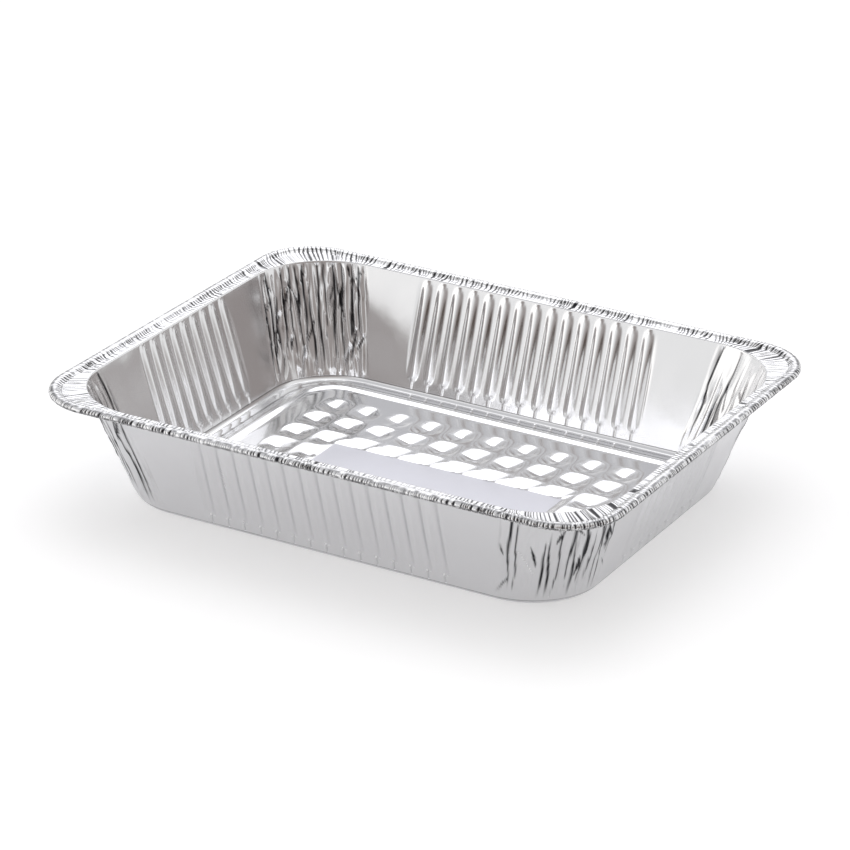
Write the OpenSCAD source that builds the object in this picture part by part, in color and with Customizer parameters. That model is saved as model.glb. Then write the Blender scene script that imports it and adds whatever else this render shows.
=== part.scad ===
// Deep half-size food pan, pressed from one sheet of aluminium foil.
// X runs along the long side and Z points up. The pan is centred on X and Y and stands on Z = 0.
// The sheet is followed from its cut edge, inside the rolled rim, over the ledge, down the wall
// and across the base. Every ring below is one step of that way, and the rings are lofted into
// the two faces of the sheet: the food side, and the underside one foil thickness away.

/* [Overall] */
// Length over the rolled rim
pan_length = 323.9; // [300:0.1:350]
// Width over the rolled rim
pan_width = 263.5; // [245:0.1:290]
// Height from the foot to the top of the rim
pan_height = 63; // [50:0.5:80]
// Thickness of the foil
foil_t = 0.1; // [0.08:0.01:0.2]

/* [Rim] */
// Corner radius over the rolled rim
rim_corner_r = 35.4; // [28:0.1:42]
// Width of the rolled edge
curl_w = 5.8; // [4.5:0.1:7]
// Height of the rolled edge
curl_h = 4; // [3:0.1:5]
// How much tighter the roll has become at its cut edge
curl_tuck = 0.5; // [0.3:0.05:0.8]
// Width of the slope from the ledge up to the rolled edge
ramp_w = 1.6; // [1:0.1:3]
// Width of the flat ledge
ledge_w = 3; // [1.5:0.1:5]
// Depth of the ledge below the top of the rim
ledge_drop = 1.8; // [1.2:0.1:2.6]
// Radius of the lip where the wall turns into the ledge
lip_r = 1.2; // [0.6:0.1:2]

/* [Wall] */
// How far the wall leans in between the lip and the foot
wall_lean = 18.8; // [12:0.1:24]
// Corner radius at the foot of the wall
foot_corner_r = 38; // [32:0.5:44]

/* [Ribs] */
// Ribs on each long wall
ribs_long = 15; // [9:1:18]
// Ribs on each short wall
ribs_short = 9; // [5:1:12]
// Distance from one rib to the next
rib_pitch = 9.65; // [8:0.05:11]
// Width of a rib on the wall
rib_w = 5.4; // [4.6:0.1:6.6]
// Width of the crest of a rib
rib_crest_w = 3.7; // [1.5:0.1:4.2]
// Height of a rib above the wall, halfway up
rib_h = 1.2; // [0.4:0.1:1.6]
// Depth of the hollow between two ribs, halfway up
hollow_d = 0.8; // [0.1:0.1:1.2]
// Plain wall above the ribs
rib_head_gap = 1.2; // [0.5:0.1:6]
// Plain wall below the ribs
rib_foot_gap = 4.5; // [2:0.1:10]
// Length over which the ends of a rib run out into the wall
rib_run_out = 2; // [1:0.1:5]

/* [Gathered corners] */
// Pleats gathered in each corner
pleats = 15; // [8:1:18]
// Depth of the deepest pleat
pleat_depth = 1.5; // [0.4:0.1:2]
// How far the pleats run past the corner radius at the lip
pleat_reach = 18.5; // [8:0.5:22]

/* [Base] */
// Height of the foot line above the floor of the channel
foot_rise = 2.3; // [1:0.1:4]
// Width of the slope between the foot line and the channel
foot_slope_w = 2.6; // [1.5:0.1:4]
// Width of the flat channel that the pan stands on
channel_w = 5.6; // [3:0.1:9]
// Width of the slope from the channel up to the bead
bead_outer_w = 7; // [4:0.1:9]
// Height of the bead above the floor of the channel
bead_h = 3.6; // [2.8:0.1:5]
// Width of the top of the bead
bead_top_w = 3; // [1.5:0.1:5]
// Width of the slope from the bead down to the panel
bead_inner_w = 4.8; // [2.5:0.1:7]

/* [Quilted panel] */
// Dishes along the pan
dishes_long = 10; // [9:1:13]
// Dishes across the pan
dishes_wide = 7; // [5:1:9]
// Flat margin between the bead and the dishes at the short walls
margin_long = 11.6; // [6:0.1:20]
// Flat margin between the bead and the dishes at the long walls
margin_wide = 8.7; // [6:0.1:16]
// How far the quilt and its plate lie off the middle of the panel, along the pan
quilt_shift = -3.1; // [-5:0.1:5]
// Height of the bottoms of the dishes, and of the plate, above the floor of the channel
dish_rise = 0.9; // [0.3:0.1:1.2]
// Depth of a dish below the flat of the panel
dish_d = 1.5; // [0.5:0.1:1.8]
// Width of the sloping flank of a dish
dish_flank = 5.2; // [2:0.1:6]
// Length of the plain plate among the dishes, counted in dishes
plate_dishes = 7; // [1:1:7]
// How far the plate runs into the bottoms of the dishes beside it
plate_run = 3.8; // [0:0.1:5]

/* [Hidden] */

// Steps round a quarter turn of a corner, and round the section of the rolled edge
arc_steps = 8;
curl_steps = 12;
// The roll starts on the ramp at the first angle and its cut edge lies at the second. Angles
// are counted from the side towards the pan, over the top.
curl_start = 30;
curl_end = 390;

// A path is [half length, half width, corner radius]. These follow the top and the foot of the wall.
rim_w = lip_r + ledge_w + ramp_w + curl_w / 2 * (1 + cos(curl_start));
lip_path = [pan_length / 2 - rim_w, pan_width / 2 - rim_w, rim_corner_r - rim_w];
foot_path = [lip_path.x - wall_lean, lip_path.y - wall_lean, foot_corner_r];
ledge_z = pan_height - ledge_drop;
lip_z = ledge_z - lip_r;
foot_z = foil_t + foot_rise;
wall_angle = atan(wall_lean / (lip_z - foot_z));

// A path moved outwards by d, and the wall's path at a height
function grown(path, d) = path + [d, d, d];
function wall_share(z) = (lip_z - z) / (lip_z - foot_z);
function wall_path(z) = lip_path + wall_share(z) * (foot_path - lip_path);
// Straight wall that the pleats cover on both sides of the corner radius
function reach_at(z) = pleat_reach * (1 - wall_share(z));

// A station is a place on one quarter of a ring, with its relief towards the food side:
// [0, y, relief] on the short wall, [1, share of the way round the corner, relief]
// and [2, x, relief] on the long wall. Its key tells how far round the quarter it lies, so that
// two rings can be joined: from 0 to wall_key, to 1 - wall_key and to 1.
wall_key = 0.4;
function station_key(s) =
    s[0] == 0 ? wall_key * s[1] / lip_path.y :
    s[0] == 1 ? wall_key + (1 - 2 * wall_key) * s[1] : 1 - wall_key * s[1] / lip_path.x;

// Place and outward direction of a station on a path
function arc_length(path) = path.z * PI / 2;
function corner_place(path, reach, share) =
    let (s = share * (arc_length(path) + 2 * reach) - reach,
         turn = min(max(s / arc_length(path), 0), 1) * 90,
         before = min(s, 0),
         after = max(s - arc_length(path), 0))
    [[path.x - path.z + path.z * cos(turn) - after, path.y - path.z + path.z * sin(turn) + before],
     [cos(turn), sin(turn)]];
function place(path, reach, s) =
    s[0] == 0 ? [[path.x, s[1]], [1, 0]] :
    s[0] == 1 ? corner_place(path, reach, s[1]) : [[s[1], path.y], [0, 1]];

// A ring is [path, height, direction to the underside, reach, stations]. Directions lie in the
// section across the rim, as [outwards, up].
function quarter_points(ring, depth) = [
    for (s = ring[4])
        let (p = place(ring[0], ring[3], s), move = ring[2] * (depth - s[2]))
        [p[0].x + p[1].x * move[0], p[0].y + p[1].y * move[0], ring[1] + move[1]]];
function backwards(list) = [for (i = [len(list) - 1:-1:0]) list[i]];
function scaled(list, sx, sy) = [for (p = list) [p.x * sx, p.y * sy, p.z]];
function ring_points(ring, depth) =
    let (q = quarter_points(ring, depth), r = backwards(q))
    concat(q, scaled(r, -1, 1), scaled(q, -1, -1), scaled(r, 1, -1));
function ring_keys(ring) =
    let (q = [for (s = ring[4]) station_key(s)], r = backwards(q))
    concat(q, [for (k = r) 2 - k], [for (k = q) 2 + k], [for (k = r) 4 - k]);

// Stations of a plain ring: only the points of its corner arcs
function arc_stations(path, reach) =
    let (whole = arc_length(path) + 2 * reach)
    [for (i = [0:arc_steps]) [1, (reach + arc_length(path) * i / arc_steps) / whole, 0]];
function plain_ring(path, z, under, reach) = [path, z, under, reach, arc_stations(path, reach)];

// Section of the rolled edge: an oval roll that tightens towards the cut edge
roll_centre = [rim_w - curl_w / 2, pan_height - curl_h / 2];
function tuck_at(a) = curl_tuck * max(a - 180, 0) / (curl_end - 180);
function roll_out(a) = roll_centre.x - (curl_w / 2 - tuck_at(a)) * cos(a);
function roll_up(a) = roll_centre.y + (curl_h / 2 - tuck_at(a)) * sin(a);
function roll_angle(i) = curl_end + (curl_start - curl_end) * i / curl_steps;

rim_rings = concat(
    [for (i = [0:curl_steps])
        let (a = roll_angle(i))
        plain_ring(grown(lip_path, roll_out(a)), roll_up(a), [cos(a), -sin(a)], pleat_reach)],
    [plain_ring(grown(lip_path, lip_r + ledge_w), ledge_z, [0, -1], pleat_reach)],
    [for (a = [90, 45, 0])
        plain_ring(grown(lip_path, lip_r * (1 - cos(a))), lip_z + lip_r * sin(a),
                   [cos(a), -sin(a)], pleat_reach)]);

// Ribs, even about the middle of the wall. A section is [distance from the rib's middle, height]:
// where a rib starts, at a share of its full height and of the hollow beside it, and where it
// runs out to a narrow tip. A last station ends the hollow beside the outermost rib.
rib_foot = [[-rib_w / 2, 0], [rib_w / 2, 0]];
rib_tip = [[-rib_crest_w / 2, 0], [rib_crest_w / 2, 0]];
function rib_section(share) = [
    [-rib_w / 2, -hollow_d * share], [-rib_crest_w / 2, rib_h * share],
    [rib_crest_w / 2, rib_h * share], [rib_w / 2, -hollow_d * share]];
function rib_stations(side, count, section) = concat(
    [for (i = [0:count - 1], p = section)
        let (at = (i - (count - 1) / 2) * rib_pitch + p[0])
        if (at > 0) [side, at, p[1]]],
    [if (len(section) > 2) [side, count * rib_pitch / 2, 0]]);

// Pleats: uneven folds, alternately in and out. A fold strays from its even place by up to a
// share of its width, and the shallowest is a share of the deepest.
pleat_folds = 2 * pleats;
fold_stray = 0.3;
fold_least = 0.25;
fold_strays = rands(-fold_stray, fold_stray, pleat_folds + 1, 11);
function fold_share(i) = (i + (i == 0 || i == pleat_folds ? 0 : fold_strays[i])) / pleat_folds;
function fold_relief(i, depths) =
    i == 0 || i == pleat_folds ? 0 : pleat_depth / 2 * depths[i] * (i % 2 == 0 ? -1 : 1);
function fold_depths(share, seed) = share * rands(fold_least, 1, pleat_folds + 1, seed);
function pleat_stations(depths) =
    [for (i = [0:pleat_folds]) [1, fold_share(i), fold_relief(i, depths)]];

// Wall, from the plain band under the lip down to the plain band above the foot, as
// [height, section of the ribs, depths of the folds]. Ribs and hollows bow out halfway up.
rib_top = lip_z - rib_head_gap;
rib_bottom = foot_z + rib_foot_gap;
rib_end_share = 0.5;
wall_steps = [
    [rib_top, rib_foot, fold_depths(0.4, 21)],
    [rib_top - rib_run_out, rib_section(rib_end_share), fold_depths(1, 21)],
    [(rib_top + rib_bottom) / 2, rib_section(1), fold_depths(1, 23)],
    [rib_bottom + rib_run_out, rib_section(rib_end_share), fold_depths(0.8, 25)],
    [rib_bottom, rib_tip, fold_depths(0.5, 25)]];
function wall_stations(section, depths) =
    concat(rib_stations(0, ribs_short, section), pleat_stations(depths),
           backwards(rib_stations(2, ribs_long, section)));
wall_rings = [
    for (step = wall_steps)
        [wall_path(step[0]), step[0], [cos(wall_angle), -sin(wall_angle)], reach_at(step[0]),
         wall_stations(step[1], step[2])]];

// Base: foot line, channel, bead and the edge of the panel, as [width of the step, height]
panel_h = dish_rise + dish_d;
base_steps = [
    [0, foot_rise], [foot_slope_w, 0], [channel_w, 0],
    [bead_outer_w, bead_h], [bead_top_w, bead_h], [bead_inner_w, panel_h]];
function inset(i) = i < 0 ? 0 : base_steps[i][0] + inset(i - 1);
base_rings = [
    for (i = [0:len(base_steps) - 1])
        plain_ring(grown(foot_path, -inset(i)), foil_t + base_steps[i][1], [0, -1], 0)];

rings = concat(rim_rings, wall_rings, base_rings);

// Quilted panel: a grid with three lines to a dish, the crest beside it and the two edges of
// its bottom
panel_path = base_rings[len(base_rings) - 1][0];
function grid_lines(count, pitch) = [
    for (i = [0:3 * count])
        (floor(i / 3) - count / 2) * pitch + [0, dish_flank, pitch - dish_flank][i % 3]];
grid_x = [for (x = grid_lines(dishes_long, 2 * (panel_path.x - margin_long) / dishes_long))
    x + quilt_shift];
grid_y = grid_lines(dishes_wide, 2 * (panel_path.y - margin_wide) / dishes_wide);
last_x = len(grid_x) - 1;
last_y = len(grid_y) - 1;
// The plain plate takes the place of dishes of the middle row, at their depth, and runs into the
// bottoms of the dishes round it
plate_first = floor((dishes_long - plate_dishes + 1) / 2);
plate_row = floor(dishes_wide / 2);
plate_i = [3 * plate_first - 1, 3 * (plate_first + plate_dishes) - 1];
plate_j = [3 * plate_row - 1, 3 * (plate_row + 1) + 1];
function in_plate(i, j) =
    i >= plate_i[0] && i <= plate_i[1] && j >= plate_j[0] && j <= plate_j[1];
function plate_push(i, j) =
    !in_plate(i, j) ? 0 : j == plate_j[0] ? -plate_run : j == plate_j[1] ? plate_run : 0;
function sunk(i, j) = (i % 3 > 0 && j % 3 > 0) || in_plate(i, j);
function grid_z(i, j) = foil_t + (sunk(i, j) ? dish_rise : panel_h);
grid_points = [
    for (j = [0:last_y], i = [0:last_x]) [grid_x[i], grid_y[j] + plate_push(i, j), grid_z(i, j)]];
function grid_index(i, j) = j * (last_x + 1) + i;
// A dish's corner is cut off by the diagonal that leaves a flat diamond where four corners meet
function grid_faces(from) = [
    for (j = [0:last_y - 1], i = [0:last_x - 1])
        let (a = from + grid_index(i, j), b = from + grid_index(i + 1, j),
             c = from + grid_index(i + 1, j + 1), d = from + grid_index(i, j + 1),
             cut = (i % 3 == 0) == (j % 3 == 0))
        each (cut ? [[a, b, d], [b, c, d]] : [[a, b, c], [a, c, d]])];
// The outline of the grid, from its first point above the X axis, with the angle of each point
half_y = [for (j = [0:last_y]) if (grid_y[j] > 0) j][0];
grid_outline = concat(
    [for (j = [half_y:last_y]) [last_x, j]], [for (i = [last_x - 1:-1:0]) [i, last_y]],
    [for (j = [last_y - 1:-1:0]) [0, j]], [for (i = [1:last_x]) [i, 0]],
    [for (j = [1:half_y - 1]) [last_x, j]]);
function turn_key(p) = (atan2(p.y, p.x) + (p.y < 0 ? 360 : 0)) / 90;
outline_keys = [for (g = grid_outline) turn_key([grid_x[g[0]], grid_y[g[1]]])];

// Triangles between two closed loops of points, matched by keys that grow by 4 in a full turn
function key_at(keys, i) = i < len(keys) ? keys[i] : keys[0] + 4;
function step_first(a, i, b, j) = j >= len(b) || (i < len(a) && key_at(a, i + 1) <= key_at(b, j + 1));
function stitch(first, a, second, b) = [
    for (i = 0, j = 0, step = step_first(a, 0, b, 0);
         i + j < len(a) + len(b);
         i = i + (step ? 1 : 0), j = j + (step ? 0 : 1), step = step_first(a, i, b, j))
        step ? [first[i % len(a)], first[(i + 1) % len(a)], second[j % len(b)]]
             : [first[i % len(a)], second[(j + 1) % len(b)], second[j % len(b)]]];

// Points and faces of one side of the sheet
ring_sizes = [for (r = rings) 4 * len(r[4])];
function points_before(n) = n == 0 ? 0 : ring_sizes[n - 1] + points_before(n - 1);
side_points = points_before(len(rings)) + len(grid_points);
function side(depth) = concat(
    [for (r = rings) each ring_points(r, depth)],
    [for (p = grid_points) p - [0, 0, depth]]);
function loop(n, from) = [for (i = [0:ring_sizes[n] - 1]) from + points_before(n) + i];
function side_faces(from) =
    let (last = len(rings) - 1, grid_from = from + points_before(len(rings)))
    concat(
        [for (n = [0:last - 1])
            each stitch(loop(n, from), ring_keys(rings[n]),
                        loop(n + 1, from), ring_keys(rings[n + 1]))],
        stitch(loop(last, from), [for (p = ring_points(rings[last], 0)) turn_key(p)],
               [for (g = grid_outline) grid_from + grid_index(g[0], g[1])], outline_keys),
        grid_faces(grid_from));
function turned(faces) = [for (f = faces) backwards(f)];
// The cut edge of the sheet joins its two sides
edge_faces = stitch(loop(0, side_points), ring_keys(rings[0]), loop(0, 0), ring_keys(rings[0]));

module foil_pan() {
    color("#c9cacd")
        polyhedron(concat(side(0), side(foil_t)),
                   concat(turned(side_faces(0)), side_faces(side_points), turned(edge_faces)),
                   convexity = 12);
}

foil_pan();
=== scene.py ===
"""A deep half-size food pan of aluminium foil, dressed for a studio picture.

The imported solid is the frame: its box gives the pan's length, width and height. The sheet is
modelled again with its crimps, creases and waves, in three lengths that meet edge to edge: the
base, the wall and the rolled rim. Sizes are in millimetres until a mesh is written.
"""

import math

import bpy
import numpy as np
from mathutils import Matrix, Vector


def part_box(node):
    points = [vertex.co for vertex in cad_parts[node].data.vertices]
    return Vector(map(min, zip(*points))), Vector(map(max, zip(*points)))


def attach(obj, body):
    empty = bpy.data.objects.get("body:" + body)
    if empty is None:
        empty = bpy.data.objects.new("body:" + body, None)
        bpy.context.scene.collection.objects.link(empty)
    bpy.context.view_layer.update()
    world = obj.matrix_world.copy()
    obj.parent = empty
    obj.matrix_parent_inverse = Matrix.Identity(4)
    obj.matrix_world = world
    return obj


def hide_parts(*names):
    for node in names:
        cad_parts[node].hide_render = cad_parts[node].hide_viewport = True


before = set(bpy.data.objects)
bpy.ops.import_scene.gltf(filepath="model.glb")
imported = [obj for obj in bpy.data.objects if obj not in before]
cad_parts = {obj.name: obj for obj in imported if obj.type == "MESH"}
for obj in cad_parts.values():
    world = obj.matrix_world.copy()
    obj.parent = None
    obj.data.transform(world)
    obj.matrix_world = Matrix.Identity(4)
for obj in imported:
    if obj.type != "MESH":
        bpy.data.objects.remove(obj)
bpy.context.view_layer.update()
MM = 0.001
pan_length, pan_width, pan_height = ((high - low) / MM for low, high in zip(*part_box("foil_pan")))


# Camera
# A long lens from the right of the pan's long side, looking down on it, with a slight tilt of
# the horizon. It takes in the inside, the two far walls and the outside of the two near ones.
camera_place = (896.8, -1630.4, 846.8)
camera_azimuth, camera_elevation, camera_roll = 28.861, 23.596, 1.091
# Focal length and width of the picture in pixels, and width of the camera's sensor
camera_focal, picture_width = 3922.5, 850
sensor_width = 36


def aim(azimuth, elevation, roll):
    """Rotation of a camera that looks from that azimuth and elevation, rolled about its view."""
    a, e = math.radians(azimuth), math.radians(elevation)
    back = Vector((math.sin(a) * math.cos(e), -math.cos(a) * math.cos(e), math.sin(e)))
    right = Vector((math.cos(a), math.sin(a), 0))
    up = back.cross(right)
    level = Matrix((right, up, back)).transposed()
    return level @ Matrix.Rotation(math.radians(roll), 3, "Z")


camera = bpy.data.objects.new("camera", bpy.data.cameras.new("camera"))
bpy.context.collection.objects.link(camera)
camera.location = [c * MM for c in camera_place]
camera.rotation_mode = "XYZ"
camera.rotation_euler = aim(camera_azimuth, camera_elevation, camera_roll).to_euler()
camera.data.sensor_width = sensor_width
camera.data.lens = camera_focal / picture_width * sensor_width
camera.data.clip_start, camera.data.clip_end = 0.01, 50
bpy.context.scene.camera = camera


# Foil
# Aluminium sheet a tenth of a millimetre thick, cold rolled, bright on the food side. It mirrors
# the studio softly: rolling leaves fine lines in it, and pressing leaves it slightly wavy and
# dulls it where it rubbed on the tool.
foil_thickness = 0.1
foil_colour = "#f2f2f3"
foil_roughness = 0.13
# Least and most roughness, as shares of the usual one, and the size of the rubbed patches
rub_least, rub_most, rub_size = 0.75, 1.4, 35.71
# Rolling lines lie a few hundredths of a millimetre apart. They are drawn a millimetre apart, the
# finest that shows. Their height, like the waves', is weakened by a strength.
line_spacing, line_height, line_strength = 1.111, 0.05, 0.12
wave_size, wave_height, wave_strength = 22.22, 0.6, 0.25
# The lines run along the pan on its base and up its wall, where drawing stretched them, and curling
# breaks them up on the rim. These are their scales along X, Y and Z.
lines_along_pan, lines_up_wall, lines_even = (0.06, 1, 1), (1, 1, 0.08), (1, 1, 1)
# Painted shade in the creases: where the sheet closes on itself, its colour is darkened towards this
painted_slot_shade_colour = "#2b2b2e"


def linear(hex_colour):
    """Linear RGBA of an sRGB hex colour."""
    srgb = [int(hex_colour[i:i + 2], 16) / 255 for i in (1, 3, 5)]
    return [c / 12.92 if c <= 0.04045 else ((c + 0.055) / 1.055) ** 2.4 for c in srgb] + [1]


def add(tree, kind, links=(), **settings):
    """Adds a node with its settings, and links [(from socket, input name or number), ...]."""
    node = tree.nodes.new(kind)
    for name, value in settings.items():
        if name.startswith("in_"):
            socket = name[3:].replace("_", " ")
            node.inputs[int(socket) if socket.isdigit() else socket].default_value = value
        else:
            setattr(node, name, value)
    for source, target in links:
        tree.links.new(source, node.inputs[target])
    return node


def foil(name, lines, colour=foil_colour, dulling=1.0, grain_height=line_height):
    """Foil with its rolling lines drawn out one way, and dulled to a multiple of its roughness.

    It is painted darker, as shade, in the slots where the sheet closes on itself, by a point attribute of
    the mesh from 0 to 1.
    """
    material = bpy.data.materials.new(name)
    material.use_nodes = True
    tree = material.node_tree
    tree.nodes.clear()
    place = add(tree, "ShaderNodeTexCoord").outputs["Object"]
    drawn_out = add(tree, "ShaderNodeMapping", [(place, "Vector")], in_Scale=lines)
    grain = add(tree, "ShaderNodeTexNoise", [(drawn_out.outputs[0], "Vector")],
                in_Scale=1 / (line_spacing * MM), in_Detail=3, in_Roughness=0.6)
    waves = add(tree, "ShaderNodeTexNoise", [(place, "Vector")],
                in_Scale=1 / (wave_size * MM), in_Detail=2, in_Roughness=0.45)
    rub = add(tree, "ShaderNodeTexNoise", [(place, "Vector")],
              in_Scale=1 / (rub_size * MM), in_Detail=5, in_Roughness=0.6)
    rough = add(tree, "ShaderNodeMapRange", [(rub.outputs["Fac"], "Value")],
                in_From_Min=0.3, in_From_Max=0.7,
                in_To_Min=foil_roughness * dulling * rub_least,
                in_To_Max=foil_roughness * dulling * rub_most)
    wavy = add(tree, "ShaderNodeBump", [(waves.outputs["Fac"], "Height")],
               in_Strength=wave_strength, in_Distance=wave_height * MM)
    fine = add(tree, "ShaderNodeBump",
               [(grain.outputs["Fac"], "Height"), (wavy.outputs[0], "Normal")],
               in_Strength=line_strength * dulling, in_Distance=grain_height * MM)
    # Painted shade: this attribute darkens the base colour towards the slot shade in the creases
    painted_slot_shade = add(tree, "ShaderNodeAttribute", attribute_name="painted_slot_shade").outputs["Fac"]
    shade = add(tree, "ShaderNodeMix", [(painted_slot_shade, 0)], data_type="RGBA",
                in_6=linear(colour), in_7=linear(painted_slot_shade_colour)).outputs[2]
    shader = add(tree, "ShaderNodeBsdfPrincipled",
                 [(shade, "Base Color"), (rough.outputs[0], "Roughness"), (fine.outputs[0], "Normal")],
                 in_Metallic=1)
    add(tree, "ShaderNodeOutputMaterial", [(shader.outputs[0], "Surface")])
    return material


# Matt side
# Foil is rolled two sheets at a time. It is bright where it met the roll and matt where it met the
# other sheet, and the matt side is turned outwards: greyer, with broad soft lights.
matt_colour, matt_dulling = "#d8d8da", 2.8
matt_side = foil("matt_side_of_aluminium_foil", lines_up_wall, matt_colour, matt_dulling)


# Base
# The bottom of the pan: the foot line, a flat channel that the pan stands on, a raised bead and
# the quilted panel, with a plain plate over its middle row and half of the rows beside it. It is
# pressed in the same stroke as the wall, so it is the same sheet.
rim_run, wall_lean = 11.2, 18.8
foot_radius, foot_height = 38.0, 2.3
foot_half_x = pan_length / 2 - rim_run - wall_lean
foot_half_y = pan_width / 2 - rim_run - wall_lean
channel_edge, panel_edge, panel_height = 7.8, 23, 2.4
# The section from the foot line inwards, as (distance, height, rings on the way there)
base_section = [
    (0, foot_height, 0), (0.7, 1.1, 2), (1.7, 0.3, 2), (2.8, 0, 2), (channel_edge, 0, 4),
    (9.2, 0.35, 2), (14.2, 2.9, 4), (15.6, 3.5, 2), (17.2, 3.75, 2), (18.2, 3.6, 2), (20.3, 2.65, 2),
    (21.2, 2.45, 2), (panel_edge, panel_height, 1)]
# Painted shade along the tight creases at the foot line and at the channel's inner edge, as (distance,
# darkness)
foot_painted_shade = [(0, 0.85), (channel_edge, 0.5)]
# Dishes along X and Y, their pitches, and how far the whole quilt lies off centre
dishes_x, dishes_y = 10, 7
dish_x, dish_y = 19.47, 20.01
quilt_shift = -3.1
# Depth of a dish, exponent of its sides from 1 for a pyramid to more for a bowl, and half the
# width of the ridges between dishes
dish_depth, dish_round, ridge_half = 2.2, 1.15, 0.9
dish_steps, grid_margin = 19, 3.0
# The plain plate, its depth, the width of its flank and its finish
plate_low, plate_high = (-66.7, -19.0), (69.6, 19.0)
plate_depth, plate_flank = 1.5, 5.5
plate_colour, plate_dulling, plate_grain = "#d3d3d9", 2.9, 0.2
# The sheet's slight waves: their height, the cells of them over an area in millimetres, and the
# heights between which they set in, as the channel lies flat
sway_height, sway_cells, sway_area = 0.12, (13, 11), (360, 300)
sway_from, sway_full = 0.3, 1.8
# Stations along half a short wall, round a corner and along half a long wall, as shares of each
base_stations = (np.arange(0, 30) / 30, np.arange(0, 48) / 48, 1 - np.arange(0, 45) / 44)
# The sheet's materials on a mesh, by number
food_side, outer_side, plate_side = 0, 1, 2
# Where faces meet at more than this the edge shows as an edge, as at the sheet's cut
sharp_angle = math.radians(60)


def quarter(half_x, half_y, radius, reach, short, corner, long):
    """Places and outward directions round a quarter of a rounded rectangle.

    short and long are positions on the straight walls, as shares from 0 in the middle of a wall
    to 1 where the gathered corner starts. corner is shares of the way round the corner, which
    takes in a reach of straight wall on both sides of the arc.
    """
    arc = radius * math.pi / 2
    way = corner * (arc + 2 * reach) - reach
    turn = np.clip(way / arc, 0, 1) * math.pi / 2
    before, after = np.minimum(way, 0), np.maximum(way - arc, 0)
    edge_y, edge_x = half_y - radius - reach, half_x - radius - reach
    x = np.concatenate([np.full(len(short), half_x),
                        half_x - radius + radius * np.cos(turn) - after, long * edge_x])
    y = np.concatenate([short * edge_y,
                        half_y - radius + radius * np.sin(turn) + before, np.full(len(long), half_y)])
    out_x = np.concatenate([np.ones(len(short)), np.cos(turn), np.zeros(len(long))])
    out_y = np.concatenate([np.zeros(len(short)), np.sin(turn), np.ones(len(long))])
    return np.stack([x, y], 1), np.stack([out_x, out_y], 1)


def all_round(q):
    """A quarter's rows [x, y] mirrored into a whole turn, its two ends counted once."""
    flip_x, flip_y = np.array([-1, 1]), np.array([1, -1])
    return np.concatenate([q[:-1], (q[::-1] * flip_x)[:-1], -q[:-1], (q[::-1] * flip_y)[:-1]])


def ring(half_x, half_y, radius, height, stations, reach=0.0):
    """Points and outward directions of one closed ring of the sheet, as rows [x, y, z]."""
    place, out = (all_round(q) for q in quarter(half_x, half_y, radius, reach, *stations))
    flat = np.zeros((len(place), 1))
    return np.hstack([place, flat + height]), np.hstack([out, flat])


def smooth(t):
    """Rises from 0 at 0 to 1 at 1, level at both ends."""
    t = np.clip(t, 0, 1)
    return t * t * (3 - 2 * t)


def uneven(u, v, size_u, size_v, seed):
    """Smooth unevenness from -1 to 1 over u and v, which wrap round at 1, in cells of those counts."""
    values = np.random.default_rng(seed).random((size_u, size_v))
    gu, gv = np.mod(u, 1) * size_u, np.mod(v, 1) * size_v
    iu, iv = np.floor(gu).astype(int), np.floor(gv).astype(int)
    fu, fv = smooth(gu - iu), smooth(gv - iv)
    near_u, far_u, near_v, far_v = iu % size_u, (iu + 1) % size_u, iv % size_v, (iv + 1) % size_v
    low = values[near_u, near_v] * (1 - fu) + values[far_u, near_v] * fu
    high = values[near_u, far_v] * (1 - fu) + values[far_u, far_v] * fu
    return 2 * (low * (1 - fv) + high * fv) - 1


def strips(first, second):
    """Quads between two closed loops of as many points."""
    return np.stack([first, np.roll(first, -1), np.roll(second, -1), second], 1)


def join(points, outer, inner):
    """Triangles between two loops matched by their angle, as quads that name a corner twice."""
    def angles(loop):
        a = np.arctan2(points[loop, 1], points[loop, 0])
        a = np.where(a < -1e-9, a + 2 * math.pi, a)
        return np.append(a, a[0] + 2 * math.pi)

    a, b = angles(outer), angles(inner)
    m, n = len(outer), len(inner)
    i = j = 0
    quads = []
    while i < m or j < n:
        if j == n or (i < m and a[i + 1] <= b[j + 1]):
            quads.append([outer[i], outer[(i + 1) % m], inner[j % n], inner[j % n]])
            i += 1
        else:
            quads.append([outer[i % m], inner[(j + 1) % n], inner[j], inner[j]])
            j += 1
    return np.array(quads)


def piece_of_foil(name, points, faces, painted_shade, materials):
    """A mesh object from points in millimetres, how much painted shade each one carries, and faces."""
    mesh = bpy.data.meshes.new(name)
    mesh.from_pydata((points * MM).tolist(), [], faces)
    # Each point's painted shade, which the foil's material reads to darken its colour
    mesh.attributes.new("painted_slot_shade", "FLOAT", "POINT").data.foreach_set("value", painted_shade)
    mesh.validate()
    mesh.shade_smooth()
    mesh.set_sharp_from_angle(angle=sharp_angle)
    for material in materials:
        mesh.materials.append(material)
    piece = bpy.data.objects.new(name, mesh)
    bpy.context.collection.objects.link(piece)
    return piece


def sheet(name, points, under, faces, edges, painted_shade, material):
    """A closed sheet: the food side, the matt side a foil's thickness under it, and its cut edges.

    Each edge is a loop of point numbers, followed in the direction in which the food side's
    faces run along it.
    """
    count = len(points)
    cuts = [np.stack([np.roll(e, -1), e, e + count, np.roll(e, -1) + count], 1) for e in edges]
    quads = np.vstack([faces, faces[:, ::-1] + count] + cuts)
    corners = [[i for k, i in enumerate(q) if i != q[k - 1]] for q in quads.tolist()]
    piece = piece_of_foil(name, np.vstack([points, points + under * foil_thickness]), corners,
                          np.concatenate([painted_shade, painted_shade]), [material, matt_side])
    sides = np.full(len(quads), food_side)
    sides[len(faces):2 * len(faces)] = outer_side
    piece.data.polygons.foreach_set("material_index", sides)
    return piece


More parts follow.
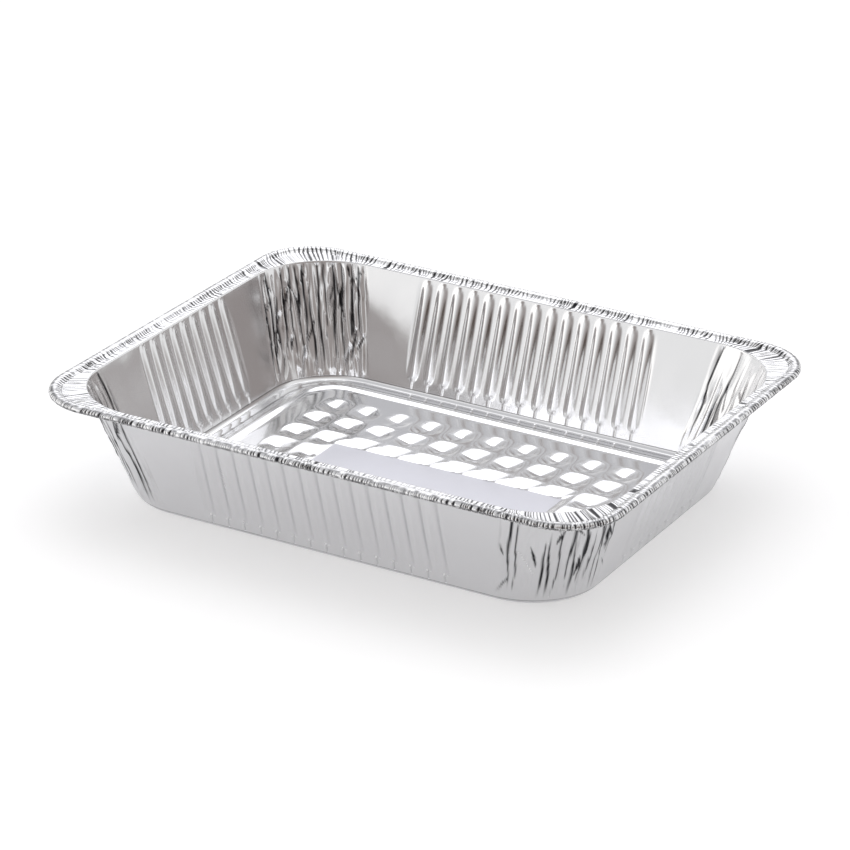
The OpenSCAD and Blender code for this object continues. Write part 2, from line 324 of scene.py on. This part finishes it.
def follow(section):
    """Distances and heights along a section, with the rings asked for between its points."""
    run = [section[0][:2]]
    for (d0, h0, _), (d1, h1, steps) in zip(section, section[1:]):
        run += [(d0 + (d1 - d0) * k / steps, h0 + (h1 - h0) * k / steps) for k in range(1, steps + 1)]
    return np.array(run)


def outside_plate(x, y):
    """Distance outside the edge of the plain plate, less than 0 on it."""
    return np.maximum.reduce([plate_low[0] - x, x - plate_high[0], plate_low[1] - y, y - plate_high[1]])


def quilt(x, y):
    """Depth of the dishes, and of the plate among them, below the flat of the panel."""
    along, wide = (x - quilt_shift) / dish_x, y / dish_y
    u = np.mod(along + dishes_x / 2, 1) - 0.5
    v = np.mod(wide + dishes_y / 2, 1) - 0.5
    inside = (np.abs(along) < dishes_x / 2) & (np.abs(wide) < dishes_y / 2)
    a = np.minimum(np.abs(u) * dish_x / (dish_x / 2 - ridge_half), 1)
    b = np.minimum(np.abs(v) * dish_y / (dish_y / 2 - ridge_half), 1)
    dish = dish_depth * (1 - a ** dish_round) * (1 - b ** dish_round) * inside
    out = outside_plate(x, y)
    return np.maximum(np.where(out > 0, dish, 0), plate_depth * (1 - smooth(out / plate_flank)))


def panel_grid():
    """Places of the quilted panel's points: an even grid, its corners pulled in to a round."""
    step_x, step_y = dish_x / dish_steps, dish_y / dish_steps
    n_x = int((foot_half_x - panel_edge - grid_margin) / step_x)
    n_y = int((foot_half_y - panel_edge - grid_margin) / step_y)
    x, y = np.meshgrid(np.arange(-n_x, n_x + 1) * step_x, np.arange(-n_y, n_y + 1) * step_y)
    corner = foot_radius - panel_edge - grid_margin
    middle_x, middle_y = n_x * step_x - corner, n_y * step_y - corner
    past_x, past_y = np.maximum(np.abs(x) - middle_x, 0), np.maximum(np.abs(y) - middle_y, 0)
    far = np.hypot(past_x, past_y)
    pull = np.where(far > corner, corner / np.maximum(far, corner), 1)
    x = np.sign(x) * (np.minimum(np.abs(x), middle_x) + past_x * pull)
    y = np.sign(y) * (np.minimum(np.abs(y), middle_y) + past_y * pull)
    return x, y


def make_base():
    """The channel and the bead as rings round the foot, and the panel as a grid joined to them."""
    run = follow(base_section)
    rings = [ring(foot_half_x - d, foot_half_y - d, foot_radius - d, h + foil_thickness, base_stations)[0]
             for d, h in run]
    count = len(rings[0])
    loops = [np.arange(count) + k * count for k in range(len(rings))]
    x, y = panel_grid()
    panel = np.stack([x, y, panel_height + foil_thickness - quilt(x, y)], -1)
    points = np.vstack(rings + [panel.reshape(-1, 3)])
    index = count * len(rings) + np.arange(x.size).reshape(x.shape)
    quads = np.stack([index[:-1, :-1], index[:-1, 1:], index[1:, 1:], index[1:, :-1]], -1).reshape(-1, 4)
    # The panel's border, once round from the middle of its +X side
    middle = len(index) // 2
    border = np.concatenate([index[middle:, -1], index[-1, -2::-1], index[-2::-1, 0], index[0, 1:],
                             index[1:middle, -1]])
    faces = [strips(inner, outer) for outer, inner in zip(loops, loops[1:])]
    faces = np.vstack(faces + [quads, join(points, loops[-1], border)])
    # Painted shade: the rings at those creases are darkened in colour
    painted_shade = np.zeros(len(points))
    for distance, dark in foot_painted_shade:
        nearest = int(np.argmin(np.abs(run[:, 0] - distance)))
        painted_shade[loops[nearest]] = dark
    x, y, z = points.T
    sway = uneven(x / sway_area[0] + 0.5, y / sway_area[1] + 0.5, *sway_cells, 3)
    points[:, 2] += sway_height * sway * smooth((z - sway_from) / (sway_full - sway_from))
    under = np.tile([0, 0, -1.0], (len(points), 1))
    return sheet("pan_base", points, under, faces, [loops[0]], painted_shade,
                 foil("rolled_aluminium_foil", lines_along_pan))


base = make_base()
# The plate is stamped with a fine even grain, which makes it a dull grey among the bright dishes
base.data.materials.append(foil("embossed_aluminium_foil", lines_even, plate_colour, plate_dulling,
                                plate_grain))
for face in base.data.polygons:
    if face.material_index == food_side and outside_plate(face.center.x / MM, face.center.y / MM) < 0:
        face.material_index = plate_side
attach(base, "root")
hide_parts("foil_pan")


# Wall
# The sloping sides, drawn down over the tool. Upright ribs stiffen the straight walls, and the
# spare sheet of each corner is gathered in upright pleats.
lip_radius, lip_corner = 1.2, 44.0
ledge_drop = 1.8
lip_half_x, lip_half_y = pan_length / 2 - rim_run, pan_width / 2 - rim_run
lip_height = pan_height - ledge_drop - lip_radius
wall_foot = foot_height + foil_thickness
wall_slope = math.atan2(wall_lean, lip_height - wall_foot)
wall_rows, corner_steps = 40, 96
# Counts and pitch of the ribs, their width, the exponent of their round back, the gaps above and
# below them, and how far inside the ribbed field's ends they reach their full height
ribs_long, ribs_short, rib_pitch = 15, 9, 9.65
rib_width, rib_round = 6.4, 2.0
rib_top_gap, rib_foot_gap, rib_fade = 1.2, 4.5, 1.5
# Height of a rib at its ends, what it gains in the middle, and how far the valleys bow the other
# way there
rib_end_height, rib_bow, valley_bow = 0.8, 0.4, 0.5
rib_steps, plain_steps_short, plain_steps_long = 14, 16, 22
field_x, field_y = ribs_long * rib_pitch / 2, ribs_short * rib_pitch / 2
# Crests and hollows of a corner's pleats and the creases among them, their depth, and the exponent
# of their lens shape
pleats, creases = 30, 42
pleat_depth, crease_least, crease_most, fold_point = 1.35, 0.3, 0.9, 0.7
# How far a fold's line waves, as a share of the corner, and over how many radians down the wall
fold_wave, fold_turns = 0.008, 9
# Shares of the corner and of the wall over which folds run out at its sides, the lip and the foot, and
# over which the painted shade in their slots runs out at the foot
side_fade, lip_fade, foot_fade, painted_shade_fade = 0.05, 0.03, 0.06, 0.25
# A hollow deeper than the depth here gets a line of painted shade with the half width here, as a share of
# the corner. The line starts and ends short of the hollow, narrows faster, and has a soft edge.
painted_shade_depth, painted_shade_half = 0.45, 0.03
painted_shade_short, painted_shade_narrowing, painted_shade_edge = 0.3, 1.4, 0.4
# Seeds and strengths of the corners' folds, from the one at +X and +Y anticlockwise
corner_seeds = [(31, 0.55), (32, 1.05), (33, 0.7), (34, 0.8)]
# An outward direction with this share along an axis belongs to a straight wall
straight = 0.999
# Soft dents that gathering the corners leaves in the plain panels: their depth, half sizes, how
# they run out at the lip and the foot, their least distance from the lip, how far beyond the ribs
# they start and reach, and each wall's seed
dents_a_panel, dent_depth, dent_wide, dent_high, dent_fade = 5, 0.17, (4, 8), (8, 13), 3
dent_below_lip, dent_start, dent_reach_short, dent_reach_long = 14, 2, 18, 22
dent_seeds_short, dent_seeds_long = (41, 43), (42, 44)


def wall_stations(height):
    """Half sizes, radius and stations at a height: on the ribs they keep their place on the wall."""
    down = (lip_height - height) / (lip_height - wall_foot)
    half_x = lip_half_x - down * wall_lean
    half_y = lip_half_y - down * wall_lean
    radius = lip_corner + down * (foot_radius - lip_corner)

    def side(count, edge, plain_steps):
        ribbed = np.arange(0, count * rib_steps // 2 + 1) * rib_pitch / rib_steps
        plain = ribbed[-1] + (edge - ribbed[-1]) * np.arange(1, plain_steps) / plain_steps
        return np.concatenate([ribbed, plain]) / edge

    short = side(ribs_short, half_y - radius, plain_steps_short)
    long = side(ribs_long, half_x - radius, plain_steps_long)[::-1]
    return half_x, half_y, radius, (short, np.arange(0, corner_steps + 1) / corner_steps, long)


def all_corner_shares(stations):
    """Corner share of each station all round, with the number of the corner added; -1 elsewhere."""
    short, corner, long = stations
    q = np.concatenate([np.full(len(short), -1.0), corner, np.full(len(long), -1.0)])
    r = np.where(q >= 0, 1 - q, -1)[::-1]
    parts = [q[:-1], r[:-1], q[:-1], r[:-1]]
    return np.concatenate([np.where(p >= 0, p + k, -1) for k, p in enumerate(parts)])


def rib_relief(at, count, height):
    """Height of the ribs at a place along a wall and a height on it."""
    shift = 0 if count % 2 else 0.5
    nearest = (np.mod(at / rib_pitch + 0.5 + shift, 1) - 0.5) * rib_pitch
    within = smooth((count * rib_pitch / 2 - np.abs(at)) / rib_fade)
    top = lip_height - rib_top_gap - height
    foot = height - wall_foot - rib_foot_gap
    lens = max(4 * top * foot / (top + foot) ** 2, 0)
    # Both ends of a rib are round, so its width shrinks within half a width of them
    end = min(top, foot)
    half = rib_width / 2
    width = math.sqrt(max(half ** 2 - max(half - end, 0) ** 2, 0)) if end > 0 else 0
    across = np.clip(1 - (np.abs(nearest) / max(width, 0.01)) ** rib_round, 0, 1)
    crest = (rib_end_height + rib_bow * lens) * across
    valley = -valley_bow * lens * (1 - across)
    return (crest + valley) * within


def make_folds(seed, strength):
    """One corner's folds, as rows (middle, half width, lean, top, bottom, depth, start of its wave).

    Widths are shares of the corner and heights are shares of the wall, counted down from the lip.
    """
    random = np.random.default_rng(seed)
    rows = []
    for i in range(pleats):
        middle = (i + 0.5 + random.uniform(-0.5, 0.5)) / pleats
        half = random.uniform(0.5, 1.7) / pleats
        lean = random.uniform(-0.04, 0.04)
        top = random.uniform(-0.6, 0.25)
        bottom = random.uniform(0.75, 1.4)
        depth = random.uniform(0.35, 1) * pleat_depth * (1 if i % 2 else -1)
        start = random.uniform(0, 2 * math.pi)
        rows.append((middle, half, lean, top, bottom, depth * strength, start))
    for _ in range(creases):
        top = random.uniform(-0.15, 0.75)
        middle = random.uniform(0.03, 0.97)
        half = random.uniform(0.015, 0.045)
        lean = random.uniform(-0.15, 0.15)
        bottom = top + random.uniform(0.16, 0.45)
        depth = random.choice([-1, 1]) * random.uniform(crease_least, crease_most)
        start = random.uniform(0, 2 * math.pi)
        rows.append((middle, half, lean, top, bottom, depth * strength, start))
    return rows


def pleat_relief(corners, shares, height):
    """Height of the gathered corners' folds, and the painted shade in their slots. Each fold is a long
    lens with a sharp crest, and the deeper hollows get a dark line of painted shade."""
    down = (lip_height - height) / (lip_height - wall_foot)
    relief, dark = np.zeros_like(shares), np.zeros_like(shares)
    for corner, folds in enumerate(corners):
        for middle, half, lean, top, bottom, depth, start in folds:
            way = (down - top) / (bottom - top)
            if not 0 < way < 1:
                continue
            lens = (4 * way * (1 - way)) ** fold_point
            place = corner + middle + lean * (way - 0.5) + fold_wave * math.sin(start + fold_turns * down)
            across = np.abs(shares - place) / half
            relief += depth * np.maximum(lens - across, 0)
            # Painted shade: deep hollows are darkened in colour along a narrow line
            if depth < -painted_shade_depth:
                across = across * max(half / painted_shade_half, 1)
                painted_slot_dark = smooth((lens - painted_shade_short - painted_shade_narrowing * across) / painted_shade_edge)
                dark = np.maximum(dark, painted_slot_dark)
    side = smooth(np.mod(shares, 1) / side_fade) * smooth((1 - np.mod(shares, 1)) / side_fade)
    fade = side * smooth(down / lip_fade) * smooth((1 - down) / foot_fade) * (shares >= 0)
    return relief * fade, dark * fade * smooth((1 - down) / painted_shade_fade)


def make_dents(seed, first, reach):
    """A wall's dents in a reach beyond its ribs, as rows (place, level, width, height, depth)."""
    random = np.random.default_rng(seed)
    rows = []
    for side in (-1, 1):
        for _ in range(dents_a_panel):
            place = side * (first + reach * random.uniform(0.1, 1.1))
            level = random.uniform(wall_foot, lip_height - dent_below_lip)
            wide = random.uniform(*dent_wide)
            high = random.uniform(*dent_high)
            rows.append((place, level, wide, high, random.uniform(-dent_depth, dent_depth)))
    return rows


def dent_relief(dents, at, height):
    """Height of one wall's dents at a place along it and a height on it."""
    relief = sum(depth * np.exp(-((at - place) / wide) ** 2 - ((height - level) / high) ** 2)
                 for place, level, wide, high, depth in dents)
    return relief * smooth((lip_height - height) / dent_fade) * smooth((height - wall_foot) / dent_fade)


def make_wall():
    """The wall as rings from the lip down to the foot, pushed inwards by its relief."""
    corners = [make_folds(seed, strength) for seed, strength in corner_seeds]
    short_dents = [make_dents(seed, field_y + dent_start, dent_reach_short) for seed in dent_seeds_short]
    long_dents = [make_dents(seed, field_x + dent_start, dent_reach_long) for seed in dent_seeds_long]
    rows, outs, painted_shade = [], [], []
    for height in lip_height + (wall_foot - lip_height) * np.arange(wall_rows + 1) / wall_rows:
        half_x, half_y, radius, stations = wall_stations(height)
        place, out = ring(half_x, half_y, radius, height, stations)
        x, y = place[:, 0], place[:, 1]
        relief, dark = pleat_relief(corners, all_corner_shares(stations), height)
        relief += rib_relief(x, ribs_long, height) * (np.abs(out[:, 1]) > straight)
        relief += rib_relief(y, ribs_short, height) * (np.abs(out[:, 0]) > straight)
        for side, short, long in zip((1, -1), short_dents, long_dents):
            relief += dent_relief(short, y, height) * (side * out[:, 0] > straight)
            relief += dent_relief(long, x, height) * (side * out[:, 1] > straight)
        tilt = np.full((len(out), 1), -math.sin(wall_slope))
        normal = np.hstack([out[:, :2] * math.cos(wall_slope), tilt])
        rows.append(place - normal * relief[:, None])
        outs.append(normal)
        # Painted shade of the pleats' slots, carried to the foil's colour
        painted_shade.append(dark)
    count = len(rows[0])
    loops = [np.arange(count) + k * count for k in range(len(rows))]
    faces = np.vstack([strips(lower, upper) for upper, lower in zip(loops, loops[1:])])
    return sheet("pan_wall", np.vstack(rows), np.vstack(outs), faces, [loops[0], loops[-1][::-1]],
                 np.concatenate(painted_shade), foil("drawn_aluminium_foil", lines_up_wall))


wall = make_wall()
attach(wall, "root")
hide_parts("foil_pan")


# Rim
# The top edge, turned out into a flat ledge and then rolled over on itself for strength. Rolling
# crimps it all round, most at the corners.
ledge_width = 3.0
curl_width, curl_height = 5.8, 4.0
roll_corner = 33.0
# The roll's points by their angle, with those painted with a dark band of shade on the roll's outer side,
# and how dark that painted shade is there and on the ramp
roll_angles = list(range(30, 211, 15)) + [240, 280, 320, 360]
roll_painted_shade_angles, outer_painted_shade, ramp_painted_shade = (105, 120, 180, 195, 210), 0.75, 0.6
rim_stations = (np.arange(0, 230) / 230, np.arange(0, 250) / 250, 1 - np.arange(0, 291) / 290)
# The crimps' pitch and depth, and their share on the lip, on the ledge, lost on the roll's crest,
# and left in the middle of a side
crimp_pitch, crimp_depth = 2.3, 0.6
lip_crimping, ledge_crimping, crest_loss, side_crimping = 0.6, 0.85, 0.65, 0.62
# Patches round the rim that are crimped more or less
patches, patch_change = 60, 0.35
# How far the grooves change from the lip to the rim's edge, and again on the roll's lower half
ledge_drift, roll_drift = 0.12, 0.25
# The two sets of grooves that crimp the rim. Each has grooves per crimp, cells of unevenness across
# the rim, wander in pitches, flat share and flank of a groove, usual depth and its change, and seeds.
gathers = dict(rate=1, cells=8, wander=1.1, flat=0.42, flank=0.5, usual=0.8, change=0.6, seeds=(54, 51))
wrinkles = dict(rate=2, cells=12, wander=1.4, flat=0.4, flank=0.6, usual=0.5, change=0.8, seeds=(55, 52))
# Share of the wrinkles' depth on the ledge, where the roll has all of it
ledge_wrinkles = 0.6
# Painted shade: grooves are darkened in colour from the first of these depths to the second, and less
# where they are shallow
painted_shade_from, painted_shade_full, painted_shade_crimping = 0.12, 0.67, 0.6
# The painted shade of the bands on the roll is broken: its usual darkness, and its change
broken_usual, broken_change = 0.8, 0.8


def rim_section():
    """The rim's closed section, as rows (distance from the lip, height, outwards, up, crimping, painted
    shade).

    It runs from the lip over the ledge, up the ramp and round the roll, and back under the ledge.
    """
    centre_out, centre_up = rim_run - curl_width / 2, pan_height - curl_height / 2
    lip = [(lip_radius * (1 - math.cos(a)), lip_height + lip_radius * math.sin(a), -math.cos(a),
            math.sin(a), lip_crimping * math.sin(a) ** 3, 0) for a in np.radians((0, 30, 60, 90))]
    ledge = [(lip_radius + ledge_width * k / 3, pan_height - ledge_drop, 0, 1, ledge_crimping, 0)
             for k in range(1, 4)]
    roll = []
    for angle in roll_angles:
        out, up = -math.cos(math.radians(angle)), math.sin(math.radians(angle))
        roll.append((centre_out + curl_width / 2 * out, centre_up + curl_height / 2 * up, out, up,
                     1 - crest_loss * max(up, 0) ** 3, outer_painted_shade * (angle in roll_painted_shade_angles)))
    (d0, h0), (d1, h1) = ledge[-1][:2], roll[0][:2]
    ramp = [(d0 + (d1 - d0) * k / 4, h0 + (h1 - h0) * k / 4, -0.5, 0.87, 1, ramp_painted_shade * (k == 1))
            for k in range(1, 4)]
    # The underside is crimped with the ledge, so that the two never cross
    under = [(d, h - foil_thickness, 0, 1, crimping, 0)
             for d, h, _, _, crimping, _ in ledge[::-1] + lip[-1:]]
    under.append((foil_thickness, lip_height, 0, 0, 0, 0))
    return lip + ledge + ramp + roll + under


def rim_ring(out, height):
    """Ring of the rim at a distance out from the lip. Its corners turn wide at the lip and closer
    at the roll, so that the ledge broadens there."""
    at_roll = smooth((out - lip_radius) / ledge_width)
    radius = (lip_corner + out) * (1 - at_roll) + (roll_corner - rim_run + out) * at_roll
    reach = lip_corner + out - radius
    return ring(lip_half_x + out, lip_half_y + out, radius, height, rim_stations, reach)


def rim_corners(short, corner, long):
    """How near each station all round is to a gathered corner: 1 in it, fading beyond it."""
    q = np.concatenate([smooth((short - 0.7) / 0.3), np.ones(len(corner)), smooth((long - 0.7) / 0.3)])
    return np.concatenate([q[:-1], q[::-1][:-1]] * 2)


def grooves(way, along, crimps, rate, cells, wander, flat, flank, usual, change, seeds):
    """Depth of one set of grooves, from 0 to 1, at shares of the way round and across the rim."""
    count = crimps * rate
    at = way * count + wander * uneven(way, along, count // 2, cells, seeds[0])
    groove = smooth((np.abs(np.mod(at, 1) - 0.5) * 2 - flat) / flank)
    return groove * np.clip(usual + change * uneven(way, along, crimps, cells, seeds[1]), 0, 1)


def make_rim():
    """The rim as closed rings, one for each row of its section, pushed in where it is crimped."""
    place, _ = rim_ring(rim_run / 2, 0)
    step = np.linalg.norm(np.diff(place[:, :2], axis=0, append=place[:1, :2]), axis=1)
    way = (np.cumsum(step) - step[0]) / step.sum()
    crimps = round(step.sum() / crimp_pitch)
    crimped = side_crimping + (1 - side_crimping) * rim_corners(*rim_stations)
    rows, painted_shade = [], []
    for distance, height, outwards, up, crimping, dark in rim_section():
        row, out = rim_ring(distance, height)
        on_roll = smooth((distance - lip_radius - ledge_width) / 2) * (height > lip_height)
        below = height < pan_height - curl_height / 2
        along = np.full_like(way, ledge_drift * distance / rim_run + roll_drift * on_roll * below)
        wrinkled = grooves(way, along, crimps, **wrinkles)
        wrinkled *= ledge_wrinkles + (1 - ledge_wrinkles) * on_roll
        groove = np.maximum(grooves(way, along, crimps, **gathers), wrinkled)
        share = np.clip(crimped + patch_change * uneven(way, along, patches, 2, 53), 0.1, 1)
        push = -crimp_depth * crimping * share * groove
        row[:, :2] += out[:, :2] * (outwards * push)[:, None]
        row[:, 2] += up * push
        rows.append(row)
        # Painted shade: the colour is darkened in the deep crimp grooves and along the roll's dark bands
        broken = np.clip(broken_usual + broken_change * uneven(way, along, crimps, 8, 56), 0, 1)
        painted_slot_dark = smooth((groove - painted_shade_from) / (painted_shade_full - painted_shade_from))
        painted_slot_dark *= smooth(crimping * share / painted_shade_crimping)
        painted_shade.append(np.maximum(painted_slot_dark, dark * broken))
    count = len(rows[0])
    loops = [np.arange(count) + k * count for k in range(len(rows))]
    faces = np.vstack([strips(loop, following) for loop, following in zip(loops, loops[1:] + loops[:1])])
    return piece_of_foil("pan_rim", np.vstack(rows), faces[:, ::-1].tolist(), np.concatenate(painted_shade),
                         [foil("curled_aluminium_foil", lines_even)])


rim = make_rim()
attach(rim, "root")
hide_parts("foil_pan")


# Studio
# A white table inside a tent of translucent cloth, lit from outside through its back and its left
# wall. The camera looks in through the opening, which foil mirrors as its dark parts.
table_colour, table_glow = "#f2f2f2", 0.32
half_table = 6.0
tent_level = 0.85
# Lit and dark places of the tent, as (heading, elevation, inner angle, outer angle, change of
# red, green and blue), all round spots in degrees. A heading is counted from -Y towards +X.
tent_places = [
    (45, 20, 15, 62, (-0.51, -0.54, -0.55)),
    (40, 4, 4, 17, (-0.25, -0.24, -0.24)),
    (205, 42, 20, 42, (0.38, 0.38, 0.42)),
    (205, 54, 8, 27, (0.65, 0.65, 0.65)),
    (305, 12, 6, 32, (0.42, 0.4, 0.38)),
    (315, 58, 8, 28, (-0.24, -0.24, -0.22))]

table_corners = [(x * half_table, y * half_table, 0) for x, y in ((-1, -1), (1, -1), (1, 1), (-1, 1))]
table_mesh = bpy.data.meshes.new("table")
table_mesh.from_pydata(table_corners, [], [(0, 1, 2, 3)])
table = bpy.data.objects.new("table", table_mesh)
bpy.context.collection.objects.link(table)
# Matt white paper. Where the camera sees it, also by way of the foil, a faint glow brings it to a
# full white that keeps the pan's shadow.
paper = bpy.data.materials.new("matt_white_paper")
paper.use_nodes = True
tree = paper.node_tree
tree.nodes.clear()
matt = add(tree, "ShaderNodeBsdfDiffuse", in_Color=linear(table_colour))
glow = add(tree, "ShaderNodeEmission", in_Color=linear("#ffffff"), in_Strength=table_glow)
ray = add(tree, "ShaderNodeLightPath").outputs
mirrored = add(tree, "ShaderNodeMath", [(ray["Is Camera Ray"], 0), (ray["Is Glossy Ray"], 1)],
               operation="MAXIMUM")
seen = add(tree, "ShaderNodeMath", [(mirrored.outputs[0], 0), (ray["Is Transmission Ray"], 1)],
           operation="MAXIMUM")
white = add(tree, "ShaderNodeAddShader", [(matt.outputs[0], 0), (glow.outputs[0], 1)])
shown = add(tree, "ShaderNodeMixShader",
            [(seen.outputs[0], "Fac"), (matt.outputs[0], 1), (white.outputs[0], 2)])
add(tree, "ShaderNodeOutputMaterial", [(shown.outputs[0], "Surface")])
table_mesh.materials.append(paper)

tent = bpy.data.worlds.new("tent")
bpy.context.scene.world = tent
tent.use_nodes = True
tree = tent.node_tree
tree.nodes.clear()
direction = add(tree, "ShaderNodeTexCoord").outputs["Generated"]
cloth = add(tree, "ShaderNodeCombineXYZ", in_X=tent_level, in_Y=tent_level, in_Z=tent_level).outputs[0]
for heading, elevation, inner, outer, change in tent_places:
    h, e = math.radians(heading), math.radians(elevation)
    towards = (math.sin(h) * math.cos(e), -math.cos(h) * math.cos(e), math.sin(e))
    near = add(tree, "ShaderNodeVectorMath", [(direction, 0)], operation="DOT_PRODUCT", in_1=towards)
    spot = add(tree, "ShaderNodeMapRange", [(near.outputs["Value"], "Value")],
               interpolation_type="SMOOTHSTEP", in_From_Min=math.cos(math.radians(outer)),
               in_From_Max=math.cos(math.radians(inner)), in_To_Min=0.0, in_To_Max=1.0)
    tint = add(tree, "ShaderNodeVectorMath", [(spot.outputs[0], "Scale")], operation="SCALE",
               in_0=change)
    cloth = add(tree, "ShaderNodeVectorMath", [(cloth, 0), (tint.outputs[0], 1)],
                operation="ADD").outputs[0]
light = add(tree, "ShaderNodeBackground", [(cloth, "Color")], in_Strength=1.0)
add(tree, "ShaderNodeOutputWorld", [(light.outputs[0], "Surface")])

bpy.context.scene.view_settings.view_transform = "Standard"
